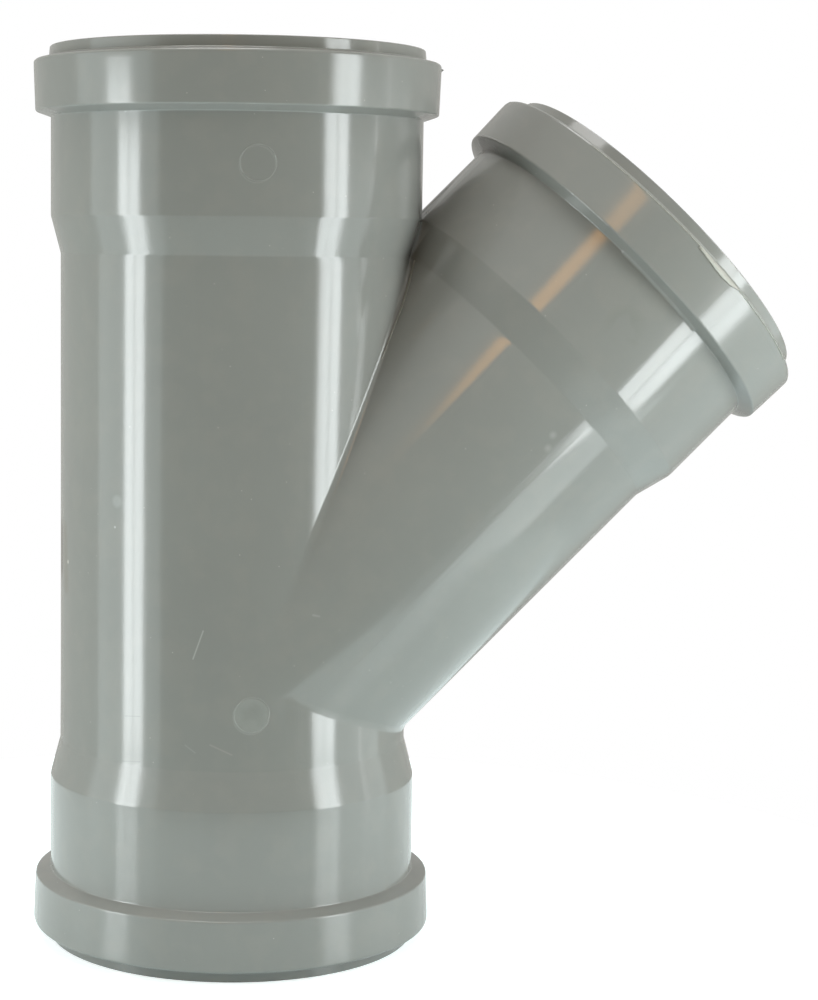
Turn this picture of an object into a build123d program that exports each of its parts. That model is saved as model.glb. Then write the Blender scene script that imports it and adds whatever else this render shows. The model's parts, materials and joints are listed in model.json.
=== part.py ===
from build123d import *
import os
from math import radians, tan

# An equal wye for 110 mm waste pipe: a straight run with a branch of the same bore leaning off it.
# The body is one injection moulding in grey rigid PVC. Each of its three mouths is a push-fit socket
# with a groove inside its collar, and a rubber ring seal lies in each groove.
# Sizes are in millimetres. The run stands along Z and the branch leans towards +X. The origin is on
# the run's axis, level with the stop that a pipe pushed into the lower socket meets.

# Overall sizes
pipe_radius = 55.0  # outside of the plain pipe that each socket takes
branch_angle = 45.0
arm_past_crotch = 50.8  # from the crotch between run and branch to each upper mouth
heel_land = 3.5  # plain tube between the lower socket's taper and the heel of the branch

# Socket: distances along its axis are measured from the rim of the mouth
pipe_clearance = 0.25
socket_wall = 3.25
socket_depth = 52.3  # rim to pipe stop
taper_length = 11.7  # outside, from the socket down to the body tube

# Body tube, and the stop where its bore begins
stop_step = 3.05  # how far the stop stands in from the socket's bore
stop_length = 9.5  # from the stop's edge down to the full body bore
body_wall = 3.2

# Lip at the mouth
lip_clearance = 0.35  # more room for the pipe than the socket's bore gives
lip_wall = 3.5
lip_draft = 0.3  # narrower at the rim than at its root
lip_height = 3.5
lead_in = 1.5

# Collar, with the groove for the ring seal inside it
face_slope = 0.7  # fall of the collar's face from the lip to its edge
front_wall = 1.0
groove_depth = 5.15
groove_length = 13.2
groove_slope = 1.5  # run of each sloping groove wall along the axis
collar_wall = 3.4
collar_draft = 0.5  # narrower at the back than at the face
back_wall = 1.9
shoulder_slope = 1.4  # fall of the collar's back face towards the socket
edge_bevel = 0.8

# Stretch of the branch collar where its back came out of the tool filled down to the socket
fill_start = 255.5  # degrees round the branch, from its underside by way of the back
fill_sweep = 33.0
fill_length = 4.0  # along the socket, from the collar's back

# Ring seal
seal_clearance = 0.25
seal_lip_gap = 0.1  # between pipe and lip, which a pipe has pressed flat
seal_heel_length = 5.6  # of rubber that lies against the groove, in front of the free lip

# Radii
socket_bore = pipe_radius + pipe_clearance
socket_radius = socket_bore + socket_wall
body_bore = socket_bore - stop_step
body_radius = body_bore + body_wall
lip_bore = socket_bore + lip_clearance
lip_root_radius = lip_bore + lip_wall
lip_rim_radius = lip_root_radius - lip_draft
groove_radius = socket_bore + groove_depth
collar_front_radius = groove_radius + collar_wall
collar_back_radius = collar_front_radius - collar_draft
seal_lip_radius = pipe_radius + seal_lip_gap

# Distances from the rim
collar_front = lip_height + face_slope
groove_front = collar_front + front_wall
groove_back = groove_front + groove_length
collar_back = groove_back + back_wall

# Lengths of the limbs from the crossing of the axes
half_angle = radians(branch_angle) / 2
arm_length = socket_radius / tan(half_angle) + arm_past_crotch
lower_length = socket_depth + taper_length + heel_land + body_radius * tan(half_angle)
crossing_height = lower_length - socket_depth

# Each limb is drawn from the crossing of the axes along +Z and then set in its direction
upper_limb = Location((0, 0, crossing_height))
lower_limb = upper_limb * Location((0, 0, 0), (180, 0, 0))
branch_limb = upper_limb * Location((0, 0, 0), (0, branch_angle, 0))
limbs = {
    "upper": (upper_limb, arm_length),
    "lower": (lower_limb, lower_length),
    "branch": (branch_limb, arm_length),
}


def turned(section, sweep=360.0):
    """A solid turned about Z, from +X, from a closed outline of (radius, height) corners."""
    return revolve(Plane.XZ * make_face(Polyline(*section, close=True)), Axis.Z, sweep)


def limb(length, tube_radius, wall_line, past_mouth=0.0):
    """One limb turned from its wall line, given as (radius, distance from the rim) corners, tube end first."""
    wall = [(radius, length - distance) for radius, distance in wall_line]
    return turned([(0, 0), (tube_radius, 0), *wall, (0, length + past_mouth)])


def limb_outside(length):
    """The full outer form of one limb: body tube, taper, socket, collar and lip."""
    return limb(
        length,
        body_radius,
        [
            (body_radius, socket_depth + taper_length),
            (socket_radius, socket_depth),
            (socket_radius, collar_back + shoulder_slope),
            (collar_back_radius - edge_bevel, collar_back),
            (collar_back_radius, collar_back - edge_bevel),
            (collar_front_radius, collar_front + edge_bevel),
            (collar_front_radius - edge_bevel, collar_front),
            (lip_root_radius, lip_height),
            (lip_rim_radius, 0),
        ],
    )


def limb_inside(length):
    """The hollow of one limb: body bore, pipe stop, socket bore, seal groove and lead-in."""
    past_mouth = 1.0
    return limb(
        length,
        body_bore,
        [
            (body_bore, socket_depth + stop_length),
            (socket_bore, socket_depth),
            (socket_bore, groove_back),
            (groove_radius, groove_back - groove_slope),
            (groove_radius, groove_front + groove_slope),
            (lip_bore, groove_front),
            (lip_bore, lead_in),
            (lip_bore + lead_in + past_mouth, -past_mouth),
        ],
        past_mouth,
    )


def filled_root(length):
    """The fillet of plastic along a stretch of a collar's back, rooted in the socket's wall."""
    root = socket_radius - socket_wall / 2
    back = length - collar_back
    corners = [
        (root, back),
        (collar_back_radius - edge_bevel, back),
        (socket_radius, back - fill_length),
        (root, back - fill_length),
    ]
    return Rotation(0, 0, fill_start) * turned(corners, fill_sweep)


def wye_body():
    """The moulding: three limbs fused where their axes cross, then hollowed."""
    outside = Part() + [place * limb_outside(length) for place, length in limbs.values()]
    inside = Part() + [place * limb_inside(length) for place, length in limbs.values()]
    branch_place, branch_length = limbs["branch"]
    return outside + branch_place * filled_root(branch_length) - inside


def ring_seal(length):
    """The rubber ring: a heel that lies in the groove, and a free lip that points inwards and back."""
    outer = groove_radius - seal_clearance
    front = length - groove_front - groove_slope - seal_clearance
    back = length - groove_back + groove_slope + seal_clearance
    return turned(
        [
            (outer, front - seal_heel_length),
            (outer, front),
            (seal_lip_radius, front),
            (seal_lip_radius, back),
        ]
    )


os.makedirs("parts", exist_ok=True)
export_step(wye_body(), "parts/wye_body.step")
for name, (place, length) in limbs.items():
    export_step(place * ring_seal(length), f"parts/{name}_ring_seal.step")
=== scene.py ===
import json
import math

import bmesh
import bpy
import numpy as np
from mathutils import Matrix, Vector


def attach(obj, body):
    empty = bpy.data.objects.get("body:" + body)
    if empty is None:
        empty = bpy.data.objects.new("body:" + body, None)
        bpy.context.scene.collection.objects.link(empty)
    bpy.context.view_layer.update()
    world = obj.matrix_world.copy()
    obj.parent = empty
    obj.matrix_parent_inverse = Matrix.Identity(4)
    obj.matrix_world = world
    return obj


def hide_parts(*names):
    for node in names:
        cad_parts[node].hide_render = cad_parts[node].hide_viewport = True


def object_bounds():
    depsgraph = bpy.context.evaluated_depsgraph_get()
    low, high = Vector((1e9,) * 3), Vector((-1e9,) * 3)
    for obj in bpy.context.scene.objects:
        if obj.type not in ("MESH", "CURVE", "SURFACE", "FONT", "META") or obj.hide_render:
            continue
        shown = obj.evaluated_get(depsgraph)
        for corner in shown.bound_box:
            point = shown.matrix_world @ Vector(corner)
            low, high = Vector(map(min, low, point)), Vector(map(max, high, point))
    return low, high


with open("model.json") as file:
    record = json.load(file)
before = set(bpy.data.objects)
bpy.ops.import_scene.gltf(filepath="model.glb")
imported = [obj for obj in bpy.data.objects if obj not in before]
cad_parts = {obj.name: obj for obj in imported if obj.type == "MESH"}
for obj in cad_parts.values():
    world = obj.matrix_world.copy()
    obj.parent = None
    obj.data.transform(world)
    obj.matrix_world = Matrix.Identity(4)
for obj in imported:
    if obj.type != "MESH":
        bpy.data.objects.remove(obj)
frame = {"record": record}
cad_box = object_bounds()

# Moulded body
# One injection moulding in grey rigid PVC: a straight run with an equal branch leaning off it, and a
# socket with a collar at each of the three mouths. The tool was split on the plane of the two axes,
# and a core was drawn out through each mouth.
mm = 0.001
mounts = {mount["name"]: mount for mount in frame["record"]["mounts"]}
stops = {end: Vector(mounts[f"{end}_socket"]["pos_m"]) / mm for end in ("lower", "upper", "branch")}
lean = Vector(mounts["branch_socket"]["axis"]).normalized()
crossing = stops["branch"] - lean * (stops["branch"].x / lean.x)
half_lean = math.acos(lean.z) / 2

# Radii in millimetres
body_radius, body_bore = 55.4, 52.2
socket_radius, socket_bore = 58.5, 55.25
collar_back_radius, collar_front_radius = 63.3, 63.8
lip_root_radius, lip_rim_radius, lip_bore = 59.1, 58.8, 55.6
groove_radius = 60.4
# Distances from the rim of a mouth
lead_in, lip_height = 1.5, 3.5
collar_front, collar_back, shoulder_root = 4.34, 20.05, 21.7
groove_front, groove_back, groove_slope = 5.2, 18.4, 1.5
burr_end = 6.6  # where the burrs beside a mouth have run out
socket_depth, taper_end, stop_end = 52.3, 64.0, 61.8
# Roundness of the corners that the tool's steel gave
taper_round, root_round, shoulder_round, face_round, lip_round = 3.0, 0.5, 0.7, 1.0, 0.4
filled_root_round = 1.5  # where the root of the branch's collar came out filled


def rounded(corners):
    """The points of a line through (radius, distance, round) corners, with an arc at each rounded one."""
    arc_step = math.radians(14)
    line = [np.array(corners[0][:2], float)]
    for before, here, after in zip(corners, corners[1:], corners[2:]):
        corner = np.array(here[:2], float)
        if not here[2]:
            line.append(corner)
            continue
        back = np.array(before[:2]) - corner
        on = np.array(after[:2]) - corner
        back /= np.linalg.norm(back)
        on /= np.linalg.norm(on)
        half = math.acos(np.clip(back @ on, -1, 1)) / 2
        turn = math.pi - 2 * half
        centre = corner + (back + on) / np.linalg.norm(back + on) * here[2] / math.sin(half)
        start = corner + back * here[2] / math.tan(half) - centre
        end = corner + on * here[2] / math.tan(half) - centre
        steps = max(2, math.ceil(turn / arc_step))
        for share in np.linspace(0, 1, steps + 1):
            spoke = math.sin((1 - share) * turn) * start + math.sin(share * turn) * end
            line.append(centre + spoke / math.sin(turn))
    line.append(np.array(corners[-1][:2], float))
    return np.array(line)


def wall_line(root):
    """A limb's wall from its outer tube, round the collar and lip and back to its inner tube."""
    land = 2.0  # plain tube that belongs to the line at each end
    return rounded([
        (body_radius, taper_end + land, 0),
        (body_radius, taper_end, taper_round),
        (socket_radius, socket_depth, taper_round),
        (socket_radius, shoulder_root, root),
        (collar_back_radius, collar_back, shoulder_round),
        (collar_front_radius, burr_end, 0),
        (collar_front_radius, collar_front, face_round),
        (lip_root_radius, lip_height, lip_round),
        (lip_rim_radius, 0, lip_round),
        (lip_bore + lead_in, 0, 0.3),
        (lip_bore, lead_in, 0.6),
        (lip_bore, groove_front, 0.3),
        (groove_radius, groove_front + groove_slope, 0.6),
        (groove_radius, groove_back - groove_slope, 0.6),
        (socket_bore, groove_back, 0.3),
        (socket_bore, socket_depth, 0.4),
        (body_bore, stop_end, 2.0),
        (body_bore, stop_end + land, 0),
    ])


# Angles round the run start at +X, and those round the branch at the side that faces the crotch. Both
# pass the side that faces the camera at 90 degrees. They are the same mirrored about 90, so that the
# limbs' edges meet.
plain_columns = 160
parting_width = 0.35  # degrees, about 0.35 mm
filled_root = (75.5, 108.5)  # where the branch collar's root is filled, in degrees
step_width = 0.5
angles = set(np.round(np.arange(plain_columns) * 360 / plain_columns, 3))
steps = [(0, parting_width), (180, parting_width), *((edge, step_width) for edge in filled_root)]
for centre, spread in steps:
    for share in (-1, -0.5, 0, 0.5, 1):
        angle = centre + share * spread
        angles |= {round(angle % 360, 3), round((180 - angle) % 360, 3)}
angles = np.radians(sorted(angles))

parting_height = 0.10
# Angle, height, distance from the rim, and length either way
burrs = {"upper": (0, 2.0, 4.9, 1.1), "branch": (180, 1.9, 5.2, 1.2)}


def start_of(name, radius):
    """How far from the crossing each column of a limb begins, on the plane that it shares with the next."""
    to_side = radius * np.cos(angles)
    steep, shallow = 1 / math.tan(half_lean), math.tan(half_lean)
    if name == "upper":
        return np.maximum(to_side, 0) * steep
    if name == "lower":
        return np.maximum(to_side, 0) * shallow
    return np.where(to_side > 0, to_side * steep, -to_side * shallow)


def limb(name, along, side):
    """One limb as rows of points, from its outer edge at the crossing round to its inner edge there."""
    mouth = (stops[name] - crossing).length + socket_depth
    sharp, filled = wall_line(root_round), wall_line(filled_root_round)
    turn = np.degrees(angles)
    share = np.zeros(len(angles))
    if name == "branch":
        rise = (turn - filled_root[0]) / step_width + 0.5
        fall = (filled_root[1] - turn) / step_width + 0.5
        share = np.clip(np.minimum(rise, fall), 0, 1)
    line = sharp[:, None, :] * (1 - share[None, :, None]) + filled[:, None, :] * share[None, :, None]
    radius, rim_distance = line[..., 0].copy(), line[..., 1]
    outer = np.arange(len(sharp)) < np.argmin(np.abs(sharp[:, 1]))
    for middle in (0, 180):
        off = np.abs((turn - middle + 180) % 360 - 180)
        ridge = np.clip(1 - off / parting_width, 0, 1) * parting_height
        radius[outer] += ridge[None, :]
    if name in burrs:
        middle, height, place, length = burrs[name]
        off = np.abs((turn - middle + 180) % 360 - 180)
        spur = np.clip(1 - off / parting_width, 0, 1)
        peak = np.clip(1 - np.abs(rim_distance - place) / length, 0, 1)
        radius[outer] += (height * spur[None, :] * peak)[outer]
    tube, bore = np.full(len(angles), body_radius), np.full(len(angles), body_bore)
    radius = np.vstack((tube, radius, bore))
    reach = np.vstack((start_of(name, body_radius), mouth - rim_distance, start_of(name, body_bore)))

    # At the crotch the tapers meet before the tubes do, so the rows start where the wall leaves the plane
    past = reach - start_of(name, radius)
    on_tube = past[1] >= 0
    for column in np.nonzero(~on_tube)[0]:
        clear = 1 + int(np.argmax(past[1:, column] >= 0))
        before, here = past[clear - 1, column], past[clear, column]
        step = radius[clear, column] - radius[clear - 1, column]
        radius[:clear, column] += step * before / (before - here)
        radius[:clear, column] = radius[clear - 1, column]
        reach[:clear, column] = start_of(name, radius[clear - 1, column])[column]
    sideways, forwards = radius * np.cos(angles), radius * np.sin(angles)
    spokes = sideways[..., None] * side + forwards[..., None] * towards_camera
    return np.array(crossing) + reach[..., None] * along + spokes, mouth - reach, on_tube


towards_camera = np.array((0, -1.0, 0))
up = np.array((0, 0, 1.0))
across = np.array((1.0, 0, 0))
leaning = np.array(lean)
above = np.array((-lean.z, 0, lean.x))
limbs = {"upper": (up, across), "lower": (-up, across), "branch": (leaning, above)}

vertices, from_rim, faces, seam_rows = [], [], [], []
for name, (along, side) in limbs.items():
    points, rim, on_tube = limb(name, along, side)
    first = sum(len(part) for part in vertices)
    row_count, column_count = points.shape[:2]
    vertices.append(points.reshape(-1, 3))
    from_rim.append(rim.ravel())
    for row in range(row_count - 1):
        here = first + row * column_count
        there = here + column_count
        for column in range(column_count):
            after = (column + 1) % column_count
            faces.append((here + column, here + after, there + after, there + column))
    seam_rows += [first + column for column in np.nonzero(on_tube)[0]]
    seam_rows += [first + (row_count - 1) * column_count + column for column in range(column_count)]
crotch_edge = points[0]  # of the branch, which came last
flash_faces = []


def add_strip(sections, closed=False):
    """Joins a row of equal sections into a closed skin, and keeps it with the thin flash."""
    first = sum(len(part) for part in vertices)
    count, corners = len(sections), len(sections[0])
    vertices.append(np.array(sections).reshape(-1, 3))
    from_rim.append(np.zeros(count * corners))
    for row in range(count if closed else count - 1):
        after = (row + 1) % count
        for corner in range(corners):
            on = (corner + 1) % corners
            ring = ((row, corner), (row, on), (after, on), (after, corner))
            flash_faces.append([first + r * corners + c for r, c in ring])
    if not closed:
        flash_faces.append([first + corner for corner in range(corners)])
        flash_faces.append([first + (count - 1) * corners + corner for corner in reversed(range(corners))])


def torn_edge(turn, slow, quick):
    """How far a torn edge stands out or in, from a slow and a quick wave along the angle."""
    return slow * math.sin(turn * 1.9) + quick * math.sin(turn * 4.7 + 1)


# Flash in the crotch: a thin ragged fin on the line where the two halves of the wall meet, with a dip
# where it is broken off
fin_reach, fin_fade = 48, 16  # degrees
fin_thickness, fin_root, fin_offset = 0.28, 0.4, 1.1
fin_height, dip_height = 2.2, 1.2
dip_start, dip_end = 17, 19  # degrees
across_plane = (up - leaning) / np.linalg.norm(up - leaning)
signed_turn = (np.degrees(angles) + 180) % 360 - 180
fin = []
for column in sorted(np.nonzero(np.abs(signed_turn) < fin_reach)[0], key=lambda c: signed_turn[c]):
    turn = signed_turn[column]
    outwards = math.cos(angles[column]) * (across + above) + 2 * math.sin(angles[column]) * towards_camera
    outwards /= np.linalg.norm(outwards)
    fade = min(1, (fin_reach - abs(turn)) / fin_fade)
    dipped = dip_start < abs(turn) < dip_end
    height = fade * (dip_height if dipped else fin_height + torn_edge(turn, 0.196, 0.14))
    line = crotch_edge[column] - fin_offset * fade * across_plane
    foot, tip = line - fin_root * outwards, line + height * outwards
    foot_half, tip_half = (share * fin_thickness * across_plane for share in (1.6, 0.5))
    fin.append([foot + foot_half, tip + tip_half, tip - tip_half, foot - foot_half])
add_strip(fin)

# Flash on the front edge of the branch's collar: a sliver that was bent over, and a fine ragged line on
# either side of it
sliver_lift, sliver_thickness = 0.1, 0.22
sliver_step = 0.7  # degrees
mouth = (stops["branch"] - crossing).length + socket_depth
for start, end, least, swell in ((48, 89.5, 0.12, 0), (89.5, 106.6, 0.7, 0.8), (106.6, 140, 0.12, 0)):
    sliver = []
    for turn in np.linspace(start, end, round((end - start) / sliver_step)):
        share = (turn - start) / (end - start)
        bulge = math.sin(math.pi * share ** 1.3) - 0.94 * share ** 8
        width = least + swell * bulge + torn_edge(turn, 0.05, 0.04)
        near_edge, far_edge = collar_front + 0.55, collar_front + 0.75 + width
        lift = sliver_lift if swell else 0
        thickness = sliver_thickness if swell else sliver_thickness / 2
        spoke = math.cos(math.radians(turn)) * above + math.sin(math.radians(turn)) * towards_camera
        sliver.append([
            np.array(crossing) + (mouth - place) * leaning + reach * spoke
            for place, reach in (
                (near_edge, collar_front_radius - 0.6),
                (near_edge, collar_front_radius + thickness * 0.9),
                (far_edge - 0.25, collar_front_radius + lift + thickness),
                (far_edge, collar_front_radius + lift + thickness * 0.5),
                (far_edge - 0.1, collar_front_radius + lift - 0.05),
                (near_edge + 0.1, collar_front_radius - 0.2),
            )
        ])
    add_strip(sliver)

# Witness of the two core pins that met the wall from the front: a fine ring each
witness_radius, witness_width, witness_height = 5.35, 0.4, 0.02
ring_steps = 120
ring_section = ((-0.5, -0.1), (-0.2, 1.0), (0.2, 1.0), (0.5, -0.1))  # shares of the width and the height
# Their x and z, and the radius of the wall there
witness_marks = {"upper": (0.0, 193.5, socket_radius), "lower": (0.0, 29.2, body_radius)}
for x, z, wall in witness_marks.values():
    ring = []
    for turn in np.linspace(0, 2 * math.pi, ring_steps, endpoint=False):
        section = []
        for off, lift in ring_section:
            reach = witness_radius + off * witness_width
            px, pz = x + reach * math.cos(turn), z + reach * math.sin(turn)
            section.append((px, -math.sqrt((wall + lift * witness_height) ** 2 - px * px), pz))
        ring.append(section)
    add_strip(ring, closed=True)
witness_faces = len(witness_marks) * ring_steps * len(ring_section)

mesh = bpy.data.meshes.new("wye_moulding")
mesh.from_pydata((np.concatenate(vertices) * mm).tolist(), [], faces + flash_faces)
material_of_face = np.zeros(len(mesh.polygons), np.int32)
material_of_face[len(faces):len(mesh.polygons) - witness_faces] = 1
mesh.polygons.foreach_set("material_index", material_of_face)
rim_layer = mesh.attributes.new("from_rim", "FLOAT", "POINT")
rim_layer.data.foreach_set("value", np.concatenate(from_rim).astype(np.float32))
seam_layer = mesh.attributes.new("seam", "INT", "POINT")
seam_flags = np.zeros(len(mesh.vertices), np.int32)
seam_flags[seam_rows] = 1
seam_layer.data.foreach_set("value", seam_flags)

# The limbs are joined along their shared edges, and the crease there gets the small radius of the tool
weld_distance = 0.002 * mm
crease_width = 1.4 * mm
least_crease = math.radians(9)  # flatter than this, the crease fades out by itself
shape = bmesh.new()
shape.from_mesh(mesh)
bmesh.ops.remove_doubles(shape, verts=shape.verts, dist=weld_distance)
bmesh.ops.dissolve_degenerate(shape, edges=shape.edges, dist=weld_distance)
bmesh.ops.recalc_face_normals(shape, faces=shape.faces)
seam = shape.verts.layers.int["seam"]
creases = [
    edge
    for edge in shape.edges
    if edge.verts[0][seam] and edge.verts[1][seam] and edge.calc_face_angle(0) > least_crease
]
bmesh.ops.bevel(
    shape, geom=creases, offset=crease_width, offset_type="OFFSET", segments=4, profile=0.5, affect="EDGES"
)
for face in shape.faces:
    face.smooth = True
shape.to_mesh(mesh)
shape.free()
body = bpy.data.objects.new("wye_moulding", mesh)
bpy.context.scene.collection.objects.link(body)
even = body.modifiers.new("even_shading", "WEIGHTED_NORMAL")
even.weight = 50


def linear(colour):
    """An sRGB hex colour as the linear values that a shader takes."""
    parts = [int(colour[i:i + 2], 16) / 255 for i in (1, 3, 5)]
    return [p / 12.92 if p <= 0.04045 else ((p + 0.055) / 1.055) ** 2.4 for p in parts] + [1.0]


def add_node(tree, kind, inputs=None, **settings):
    """Adds a node, sets its properties, and gives each named input a value or a link."""
    made = tree.nodes.new("ShaderNode" + kind)
    for name, value in settings.items():
        setattr(made, name, value)
    for name, value in (inputs or {}).items():
        if isinstance(value, bpy.types.NodeSocket):
            tree.links.new(value, made.inputs[name])
        else:
            made.inputs[name].default_value = value
    return made


def new_material(name):
    """An empty material with its shader and output."""
    material = bpy.data.materials.new(name)
    material.use_nodes = True
    return material, material.node_tree, material.node_tree.nodes["Principled BSDF"]


# Rigid PVC, injection moulded in a polished tool: an even neutral grey with a clear gloss, very slightly
# wavy, with fine turned lines where the tool's inserts were turned, and satin on the tapers.
pvc, tree, shader = new_material("moulded_grey_pvc")
place = add_node(tree, "TexCoord").outputs["Object"]
in_mm = add_node(tree, "VectorMath", {0: place, "Scale": 1 / mm}, operation="SCALE").outputs["Vector"]
rim_distance = add_node(tree, "Attribute", attribute_name="from_rim").outputs["Fac"]


def together(mask, *others):
    """One mask for where all of several hold. A plain number makes it weaker all over."""
    for other in others:
        mask = add_node(tree, "Math", {0: mask, 1: other}, operation="MULTIPLY").outputs[0]
    return mask


def tinted(colour, tint, *masks):
    """A colour with a tint laid over it where all the masks hold."""
    inputs = {"Factor": together(*masks), 6: colour, 7: linear(tint)}
    return add_node(tree, "Mix", inputs, data_type="RGBA").outputs[2]


def between(value, low, high, soft):
    """A mask of 1 between two values, with soft ends."""
    rise = {"Value": value, "From Min": low - soft, "From Max": low + soft}
    fall = {"Value": value, "From Min": high + soft, "From Max": high - soft}
    return together(*(add_node(tree, "MapRange", end).outputs[0] for end in (rise, fall)))


def spot(centre, radius, soft):
    """A mask of 1 within a distance of a point on the wall, in millimetres."""
    far = add_node(tree, "VectorMath", {0: in_mm, 1: centre}, operation="DISTANCE").outputs["Value"]
    inputs = {"Value": far, "From Min": radius + soft, "From Max": radius}
    return add_node(tree, "MapRange", inputs).outputs[0]


def stroke(start, end, width):
    """A mask of 1 along a straight scratch between two points on the wall, in millimetres."""
    line = Vector(end) - Vector(start)
    from_start = add_node(tree, "VectorMath", {0: in_mm, 1: start}, operation="SUBTRACT").outputs["Vector"]
    inputs = {0: from_start, 1: line / line.length_squared}
    share = add_node(tree, "VectorMath", inputs, operation="DOT_PRODUCT").outputs["Value"]
    share = add_node(tree, "Clamp", {"Value": share}).outputs[0]
    nearest = add_node(tree, "VectorMath", {0: line, "Scale": share}, operation="SCALE").outputs["Vector"]
    off = add_node(tree, "VectorMath", {0: from_start, 1: nearest}, operation="DISTANCE").outputs["Value"]
    return add_node(tree, "MapRange", {"Value": off, "From Min": width, "From Max": 0.3 * width}).outputs[0]


# Colour: faint warm and cool clouds, and dust moulded into the skin
cloud_size, mottle_size = 45, 9
inputs = {"Vector": in_mm, "Scale": 1 / cloud_size, "Detail": 3.0}
cloud = add_node(tree, "TexNoise", inputs).outputs["Fac"]
inputs = {"Vector": in_mm, "Scale": 1 / mottle_size, "Detail": 5.0}
mottle = add_node(tree, "TexNoise", inputs).outputs["Fac"]
colour = tinted(linear("#80817d"), "#868782", cloud)
mottled = between(mottle, 0.56, 1.0, 0.08)
mottle_strength = 0.3
colour = tinted(colour, "#8a8983", mottled, mottle_strength)
speck_spacing, speck_radius, speck_strength = 4.5, 0.2, 0.7
specks = add_node(tree, "TexVoronoi", {"Vector": in_mm, "Scale": 1 / speck_spacing}).outputs
edge = speck_radius / speck_spacing
inputs = {"Value": specks["Distance"], "From Min": edge, "From Max": 0.6 * edge}
near = add_node(tree, "MapRange", inputs).outputs["Result"]
kept = add_node(tree, "Math", {0: specks["Color"], 1: 0.5}, operation="GREATER_THAN").outputs[0]
colour = tinted(colour, "#b4b4aa", near, kept, speck_strength)

# The witness rings, lighter than the wall, and the lower one's mottled disc
flat_place = add_node(tree, "VectorMath", {0: in_mm, 1: (1, 0, 1)}, operation="MULTIPLY").outputs["Vector"]
depth = add_node(tree, "SeparateXYZ", {0: in_mm}).outputs["Y"]
in_front = add_node(tree, "Math", {0: depth, 1: -40}, operation="LESS_THAN").outputs[0]
for name, (x, z, _) in witness_marks.items():
    for shift, strength in (((0, 0), 0.25), ((-0.35, -0.55), 0.2)):
        centre = (x + shift[0], 0, z + shift[1])
        inputs = {0: flat_place, 1: centre}
        far = add_node(tree, "VectorMath", inputs, operation="DISTANCE").outputs["Value"]
        line = between(far, witness_radius - 0.12, witness_radius + 0.12, 0.14)
        fleck = between(mottle, 0.3, 0.62, 0.1) if shift != (0, 0) else in_front
        colour = tinted(colour, "#a9aba4", line, in_front, fleck, strength)
    if name == "lower":
        disc, disc_strength = between(far, -1, witness_radius, 0.4), 0.35
        colour = tinted(colour, "#979b95", disc, in_front, between(mottle, 0.4, 1.0, 0.12), disc_strength)

# Handling marks, where the photograph shows them
for start, end, width, strength, tint in (
    ((-12.4, -54.0, 20.0), (-6.0, -55.1, 17.1), 0.35, 0.2, "#b2aea6"),
    ((-19.8, -51.8, 19.6), (-16.8, -52.8, 17.4), 0.3, 0.15, "#b2b6b0"),
    ((-17.6, -52.5, 46.0), (-14.7, -53.4, 54.6), 0.32, 0.45, "#b4b7b0"),
    ((-37.2, -41.0, 26.6), (-32.9, -44.6, 27.1), 0.22, 0.45, "#6d706c"),
    ((-37.8, -40.5, 12.5), (-32.8, -44.6, 13.1), 0.22, 0.45, "#6d706c"),
    ((-55.3, -3.2, 79.5), (-55.2, -3.6, 67.0), 4.4, 0.9, "#4f4a41"),
    ((-54.4, -10.0, 80.0), (-54.2, -11.5, 62.5), 4.0, 0.35, "#716a5c"),
    ((18.2, -55.4, 59.4), (20.0, -55.2, 59.0), 0.5, 0.3, "#a9aca6"),
):
    colour = tinted(colour, tint, stroke(start, end, width), strength)
for centre, radius, soft, strength, tint in (
    ((-39.7, -38.6, 92.0), 1.2, 1.2, 0.22, "#b0b6b1"),
    ((-40.3, -38.0, 84.1), 0.2, 0.3, 0.4, "#cfd2cc"),
    ((-53.6, -13.9, 70.2), 0.3, 0.5, 0.8, "#c9c6bd"),
    ((90.7, -54.3, 113.5), 0.3, 1.3, 0.22, "#b9bcb6"),
    ((89.3, -53.9, 109.5), 0.3, 1.3, 0.2, "#b9bcb6"),
    ((72.4, -47.8, 158.3), 0.4, 0.5, 0.7, "#b5b5a8"),
):
    colour = tinted(colour, tint, spot(centre, radius, soft), strength)
patch, patch_strength = spot((111, -58.2, 146), 3.5, 4), 0.55
colour = tinted(colour, "#7b7d77", patch, between(mottle, 0.5, 1.0, 0.06), patch_strength)
tree.links.new(colour, shader.inputs["Base Color"])

# Gloss: polished walls, slightly softer collars, and satin tapers
collars = between(rim_distance, lip_height, shoulder_root, 0.4)
tapers = between(rim_distance, socket_depth + 0.6, taper_end - 0.4, 0.5)
haze_size = 25
wall_roughness, hazy_roughness, collar_roughness, taper_roughness = 0.11, 0.15, 0.17, 0.15
haze = add_node(tree, "TexNoise", {"Vector": in_mm, "Scale": 1 / haze_size, "Detail": 4.0}).outputs["Fac"]
inputs = {"Value": haze, "To Min": wall_roughness, "To Max": hazy_roughness}
gloss = add_node(tree, "MapRange", inputs).outputs[0]
for part, roughness in ((collars, collar_roughness), (tapers, taper_roughness)):
    gloss = add_node(tree, "Mix", {"Factor": part, 2: gloss, 3: roughness}, data_type="FLOAT").outputs[0]
tree.links.new(gloss, shader.inputs["Roughness"])

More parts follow.
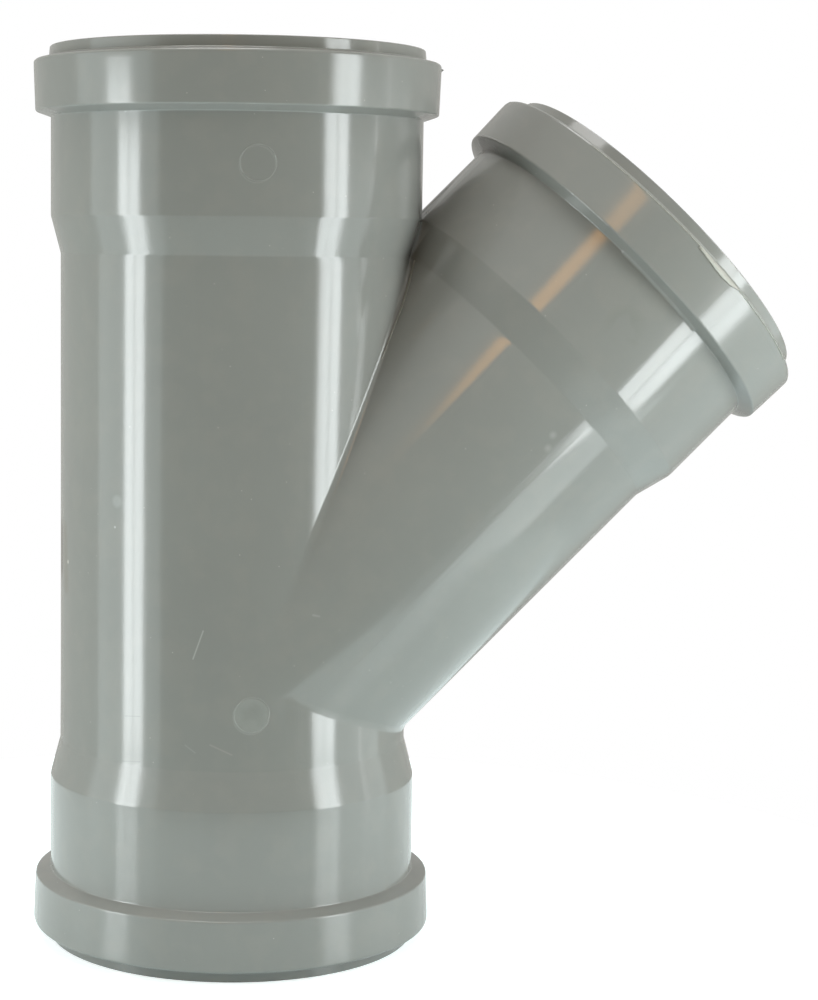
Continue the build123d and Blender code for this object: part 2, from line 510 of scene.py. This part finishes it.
# Relief: the tool's slight waviness, fine turned lines on the sockets and collars, grain on the tapers,
# and the rough tool mark on the back of the branch's collar at the crotch. Real lines and grain are
# finer, and are drawn as coarse as they need to be to show.
wave_size, line_spacing, grain_size = 3.0, 0.5, 0.7
wave_height, line_height, grain_height, tool_mark_height = 0.006, 0.004, 0.02, 0.35
peel = add_node(tree, "TexNoise", {"Vector": in_mm, "Scale": 1 / wave_size, "Detail": 2.0}).outputs["Fac"]
relief = add_node(tree, "Bump", {"Height": peel, "Distance": wave_height * mm}).outputs["Normal"]
inputs = {"W": rim_distance, "Scale": 1 / line_spacing, "Detail": 1.0}
turned_line = add_node(tree, "TexNoise", inputs, noise_dimensions="1D").outputs["Fac"]
turned_part = between(rim_distance, 4, socket_depth, 0.5)
grain = add_node(tree, "TexNoise", {"Vector": in_mm, "Scale": 1 / grain_size, "Detail": 2.0}).outputs["Fac"]
rough_centre = Vector(crossing) + Vector(leaning) * 171.5 + Vector(above) * 59.5 + Vector((0, -12, 0))
rough = together(spot(rough_centre, 9, 6), between(rim_distance, 19.6, 21.9, 0.2))
for pattern, where, height in (
    (turned_line, turned_part, line_height),
    (grain, tapers, grain_height),
    (grain, rough, tool_mark_height),
):
    inputs = {"Height": together(pattern, where), "Distance": height * mm, "Normal": relief}
    relief = add_node(tree, "Bump", inputs).outputs["Normal"]
tree.links.new(relief, shader.inputs["Normal"])
shader.inputs["IOR"].default_value = 1.53

# Flash of the same PVC: so thin that light goes through, so that it looks paler and a little tan
flash, tree, shader = new_material("thin_pvc_flash")
place = add_node(tree, "TexCoord").outputs["Object"]
in_mm = add_node(tree, "VectorMath", {0: place, "Scale": 1 / mm}, operation="SCALE").outputs["Vector"]
fleck_size = 0.8
inputs = {"Vector": in_mm, "Scale": 1 / fleck_size, "Detail": 3.0}
flecks = add_node(tree, "TexNoise", inputs).outputs["Fac"]
tree.links.new(tinted(linear("#8e8d83"), "#a8a79d", flecks), shader.inputs["Base Color"])
torn = add_node(tree, "Bump", {"Height": flecks, "Distance": 0.05 * mm}).outputs["Normal"]
tree.links.new(torn, shader.inputs["Normal"])
shader.inputs["Roughness"].default_value = 0.4
shader.inputs["IOR"].default_value = 1.53
mesh.materials.append(pvc)
mesh.materials.append(flash)
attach(body, "root")
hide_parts("wye_body")

# Ring seals
# A black rubber ring lies in the groove inside each collar. Its lip leans inwards and away from the
# mouth, and stands free here because no pipe is in the socket.
seal_clearance = 0.25
seal_outer = groove_radius - seal_clearance
seal_front = groove_front + groove_slope + seal_clearance
seal_back = groove_back - groove_slope - seal_clearance
lip_tip_radius = 52.9
seal_section = [
    (seal_outer, (seal_front + seal_back) / 2, 0),
    (seal_outer, seal_front, 0.7),
    (56.4, seal_front, 0.7),
    (55.9, seal_front + 1.6, 1.2),
    (lip_tip_radius, seal_back - 1.4, 0.4),
    (lip_tip_radius + 0.7, seal_back - 0.4, 0.4),
    (57.3, seal_front + 4.2, 1.0),
    (58.4, seal_back - 3.6, 0.6),
    (58.5, seal_back, 0.5),
    (seal_outer, seal_back, 0.6),
    (seal_outer, (seal_front + seal_back) / 2, 0),
]
seal_columns = 144

# EPDM rubber, moulded: matt black with a faint bloom
rubber, tree, shader = new_material("moulded_black_rubber")
place = add_node(tree, "TexCoord").outputs["Object"]
in_mm = add_node(tree, "VectorMath", {0: place, "Scale": 1 / mm}, operation="SCALE").outputs["Vector"]
bloom_size, grain_size = 6.0, 0.5
bloom = add_node(tree, "TexNoise", {"Vector": in_mm, "Scale": 1 / bloom_size, "Detail": 4.0}).outputs["Fac"]
tree.links.new(tinted(linear("#1b1b1b"), "#2a2a29", bloom), shader.inputs["Base Color"])
grain = add_node(tree, "TexNoise", {"Vector": in_mm, "Scale": 1 / grain_size, "Detail": 2.0})
rough = add_node(tree, "Bump", {"Height": grain.outputs["Fac"], "Distance": 0.02 * mm})
tree.links.new(rough.outputs["Normal"], shader.inputs["Normal"])
shader.inputs["Roughness"].default_value = 0.62
shader.inputs["IOR"].default_value = 1.5

section = rounded(seal_section)[:-1]
seal_angles = np.arange(seal_columns) * 2 * math.pi / seal_columns
for name, (along, side) in limbs.items():
    mouth = (stops[name] - crossing).length + socket_depth
    third = np.cross(along, side)
    ring = np.array([
        np.array(crossing)
        + along * (mouth - distance)
        + radius * (np.outer(np.cos(seal_angles), side) + np.outer(np.sin(seal_angles), third))
        for radius, distance in section
    ])
    count = len(section)
    faces = [
        (
            row * seal_columns + column,
            row * seal_columns + (column + 1) % seal_columns,
            (row + 1) % count * seal_columns + (column + 1) % seal_columns,
            (row + 1) % count * seal_columns + column,
        )
        for row in range(count)
        for column in range(seal_columns)
    ]
    seal_mesh = bpy.data.meshes.new(f"{name}_rubber_ring")
    seal_mesh.from_pydata((ring.reshape(-1, 3) * mm).tolist(), [], faces)
    shape = bmesh.new()
    shape.from_mesh(seal_mesh)
    bmesh.ops.recalc_face_normals(shape, faces=shape.faces)
    shape.to_mesh(seal_mesh)
    shape.free()
    seal_mesh.shade_smooth()
    seal_mesh.materials.append(rubber)
    seal = bpy.data.objects.new(f"{name}_rubber_ring", seal_mesh)
    bpy.context.scene.collection.objects.link(seal)
    seal.modifiers.new("even_shading", "WEIGHTED_NORMAL")
    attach(seal, "root")
    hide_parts(f"{name}_ring_seal")

# Camera
# It stands a little left of the fitting, at about the height of the crotch, and looks slightly down.
camera_place = Vector((-77.81, -741.46, 172.51))
camera_turn, camera_tilt, camera_roll = -0.13266, -0.10845, 0.01163
focal_pixels = 2338.8
photo_width, photo_height = 818, 1000
optical_centre = (300, 490)
sensor = 36

look = Vector((
    -math.sin(camera_turn) * math.cos(camera_tilt),
    math.cos(camera_turn) * math.cos(camera_tilt),
    math.sin(camera_tilt),
))
level = Vector((math.cos(camera_turn), math.sin(camera_turn), 0))
upright = level.cross(look)
right = level * math.cos(camera_roll) + upright * math.sin(camera_roll)
top = upright * math.cos(camera_roll) - level * math.sin(camera_roll)
camera_data = bpy.data.cameras.new("camera")
camera_data.sensor_width = sensor
camera_data.lens = focal_pixels / photo_height * sensor
camera_data.shift_x = (photo_width / 2 - optical_centre[0]) / photo_height
camera_data.shift_y = (optical_centre[1] - photo_height / 2) / photo_height
camera = bpy.data.objects.new("camera", camera_data)
bpy.context.scene.collection.objects.link(camera)
facing = Matrix((right, top, -look)).transposed()
camera.matrix_world = Matrix.Translation(camera_place * mm) @ facing.to_4x4()
bpy.context.scene.camera = camera

# Floor
# A round white turntable board under the lower mouth. It shows as white paper does when it is fully
# lit, and keeps the soft shadow that the fitting throws.
floor_level = cad_box[0].z
floor_radius = 0.26
floor_shape = bmesh.new()
bmesh.ops.create_circle(floor_shape, cap_ends=True, segments=128, radius=floor_radius)
bmesh.ops.translate(floor_shape, verts=floor_shape.verts, vec=(0, 0, floor_level))
floor_mesh = bpy.data.meshes.new("floor")
floor_shape.to_mesh(floor_mesh)
floor_shape.free()
floor = bpy.data.objects.new("floor", floor_mesh)
bpy.context.scene.collection.objects.link(floor)

# Melamine-faced board: even white with a slight gloss. Rays that the fitting mirrors see less of it.
board, tree, shader = new_material("melamine_white_board")
shader.inputs["Base Color"].default_value = linear("#e2f3f5")
shader.inputs["Roughness"].default_value = 0.18


def rays(mirrored_share):
    """1 for a ray from the camera, and less for one that was mirrored or went through glass."""
    path = add_node(tree, "LightPath").outputs
    inputs = {0: path["Is Glossy Ray"], 1: path["Is Transmission Ray"]}
    mirrored = add_node(tree, "Math", inputs, operation="MAXIMUM").outputs[0]
    inputs = {0: path["Is Camera Ray"], 1: together(mirrored, mirrored_share)}
    return add_node(tree, "Math", inputs, operation="MAXIMUM").outputs[0]


mirrored_board, board_strength = 0.5, 0.66
shown = together(rays(mirrored_board), board_strength)
shader.inputs["Emission Color"].default_value = linear("#ffffff")
tree.links.new(shown, shader.inputs["Emission Strength"])
floor_mesh.materials.append(board)

# Light
# A pair of tubes stands on each side in front, past the edge of the board. Broad dim panels stand beyond
# them, with a low one and a far strip on the right. A soft box hangs above, and a narrow warm lamp over
# the camera, where the room is dim and a little warm.
def lamp(name, azimuth, distance, middle, width, height, strength, colour, tilt=0, shape="RECTANGLE"):
    """A flat light that faces the fitting's axis. Azimuth 0 is the front, where the camera stands."""
    data = bpy.data.lights.new(name, "AREA")
    data.shape = shape
    data.size, data.size_y = width, height
    data.energy = strength * width * height * math.pi  # so that strength is the radiance
    data.color = linear(colour)[:3]
    lit = bpy.data.objects.new(name, data)
    bpy.context.scene.collection.objects.link(lit)
    lit.visible_camera = False
    turn, lift = math.radians(azimuth), math.radians(tilt)
    out = Vector((math.sin(turn), -math.cos(turn), 0))
    lit.location = out * distance + Vector((0, 0, floor_level + middle))
    back = out * math.cos(lift) + Vector((0, 0, math.sin(lift)))
    lit.rotation_euler = back.to_track_quat("Z", "Y").to_euler()


tube_width, tube_gap = 0.12, 0.0135  # as shares of the distance
for side_name, azimuth, tube_distance, bottom, top, strength in (
    ("left", -71.4, 0.55, -0.055, 0.28, 10.6),
    ("right", 53.1, 0.47, -0.037, 0.39, 10.3),
):
    spread = math.degrees((tube_width + tube_gap) / 2)
    for which, sign in (("near", -1), ("far", 1)):
        lamp(
            f"{side_name}_{which}_tube", azimuth + sign * spread, tube_distance, (bottom + top) / 2,
            tube_width * tube_distance, top - bottom, strength, "#f8feff",
        )
lamp("left_glow", -78, 0.8, 0.03, 0.75, 0.9, 1.3, "#eefdff")
lamp("right_glow", 77, 0.8, 0.04, 0.8, 0.48, 1.15, "#eefdff")
lamp("right_low_glow", 55, 0.5, -0.15, 0.2, 0.18, 2.4, "#f4ffff")
lamp("overhead_box", -90, 0.1, 1.3, 0.6, 0.6, 6.2, "#ffffff", tilt=86)
lamp("warm_strip", -12, 1.0, 0.79, 0.115, 0.45, 4.2, "#ffb44a", shape="ELLIPSE")
lamp("far_strip", 86.5, 3.0, 0.3, 0.06, 2.0, 4.0, "#ffffff")

# The room: pale above, behind and on the table, dim in front. The backdrop is white for the camera, and
# a glossy wall mirrors a little of that white where it looks straight back.
world = bpy.data.worlds.new("studio")
bpy.context.scene.world = world
world.use_nodes = True
tree = world.node_tree
tree.nodes.clear()
direction = add_node(tree, "TexCoord").outputs["Generated"]
parts = add_node(tree, "SeparateXYZ", {0: direction}).outputs


def towards(part, low, high):
    """0 at the low and 1 at the high end of one part of the direction, with a soft change between."""
    inputs = {"Value": parts[part], "From Min": low, "From Max": high}
    return add_node(tree, "MapRange", inputs, interpolation_type="SMOOTHSTEP").outputs["Result"]


room = tinted(linear("#5c5a4e"), "#b0aea8", towards("Y", -0.75, 0.1))
room = tinted(room, "#cdcfcc", towards("Z", 0.25, 0.6))
room = tinted(room, "#e2efef", towards("Z", -0.38, -0.6))
mirrored_backdrop = 0.15
straight_back = towards("Y", 0.75, 0.95)
seen = tinted(room, "#ffffff", rays(together(straight_back, mirrored_backdrop)))
background = add_node(tree, "Background", {"Color": seen, "Strength": 1.0})
add_node(tree, "OutputWorld", {"Surface": background.outputs[0]})

bpy.context.scene.view_settings.view_transform = "Standard"
